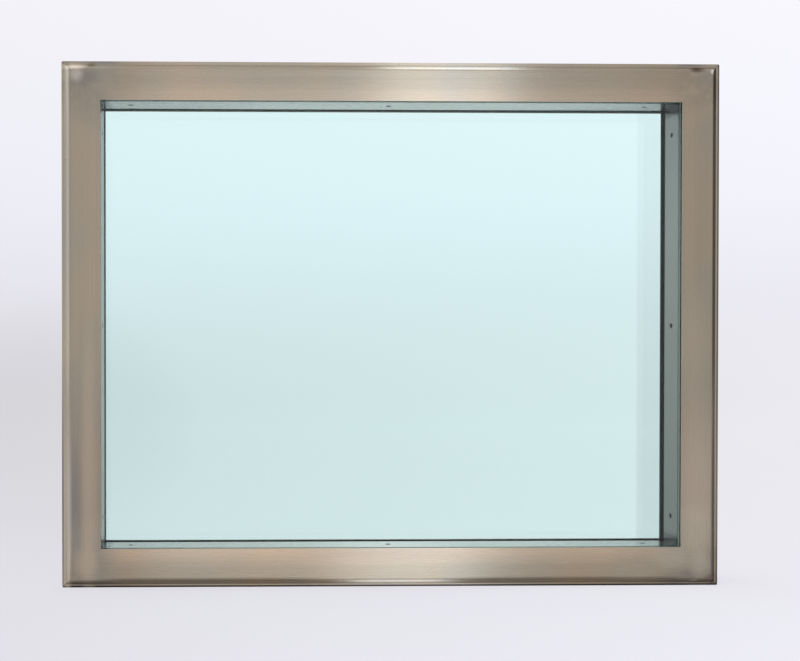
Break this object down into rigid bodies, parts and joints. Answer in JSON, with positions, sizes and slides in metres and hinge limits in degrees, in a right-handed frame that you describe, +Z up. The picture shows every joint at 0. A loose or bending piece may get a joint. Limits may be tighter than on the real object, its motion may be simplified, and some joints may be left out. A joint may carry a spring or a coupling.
{
  "type": "flush-mount window",
  "caption": "Double-glazed wall window with a folded stainless face frame on both sides, a hollow spacer frame between the panes and a casing through the wall.",
  "frame": {"origin": "middle of the bottom flange of the front face frame, on its rear face, where the window bears on the wall", "axes": "+X across the width to the right as seen from the front, +Y through the wall from front to back, +Z up"},
  "size_m": [0.9144, 0.112, 0.7269],
  "materials": {
    "face_steel": "brushed, grain along each member, warm tone",
    "casing_steel": "mill finish",
    "spacer_aluminium": "satin anodised",
    "gasket_rubber": "matt black",
    "front_seal_strip": "matt grey",
    "back_seal_strip": "matt black",
    "pane_glass": "clear with a faint green-blue tint"
  },
  "bodies": {
    "root": {"front_bottom_rail": "face_steel", "front_gasket_bottom": "gasket_rubber", "front_top_rail": "face_steel", "front_gasket_top": "gasket_rubber", "front_left_stile": "face_steel", "front_gasket_left": "gasket_rubber", "front_right_stile": "face_steel", "front_gasket_right": "gasket_rubber", "front_glass": "pane_glass", "front_seal": "front_seal_strip", "back_bottom_rail": "face_steel", "back_gasket_bottom": "gasket_rubber", "back_top_rail": "face_steel", "back_gasket_top": "gasket_rubber", "back_left_stile": "face_steel", "back_gasket_left": "gasket_rubber", "back_right_stile": "face_steel", "back_gasket_right": "gasket_rubber", "back_glass": "pane_glass", "back_seal": "back_seal_strip", "casing_bottom": "casing_steel", "spacer_bottom": "spacer_aluminium", "casing_top": "casing_steel", "spacer_top": "spacer_aluminium", "casing_left": "casing_steel", "spacer_left": "spacer_aluminium", "casing_right": "casing_steel", "spacer_right": "spacer_aluminium"}
  },
  "joints": []
}
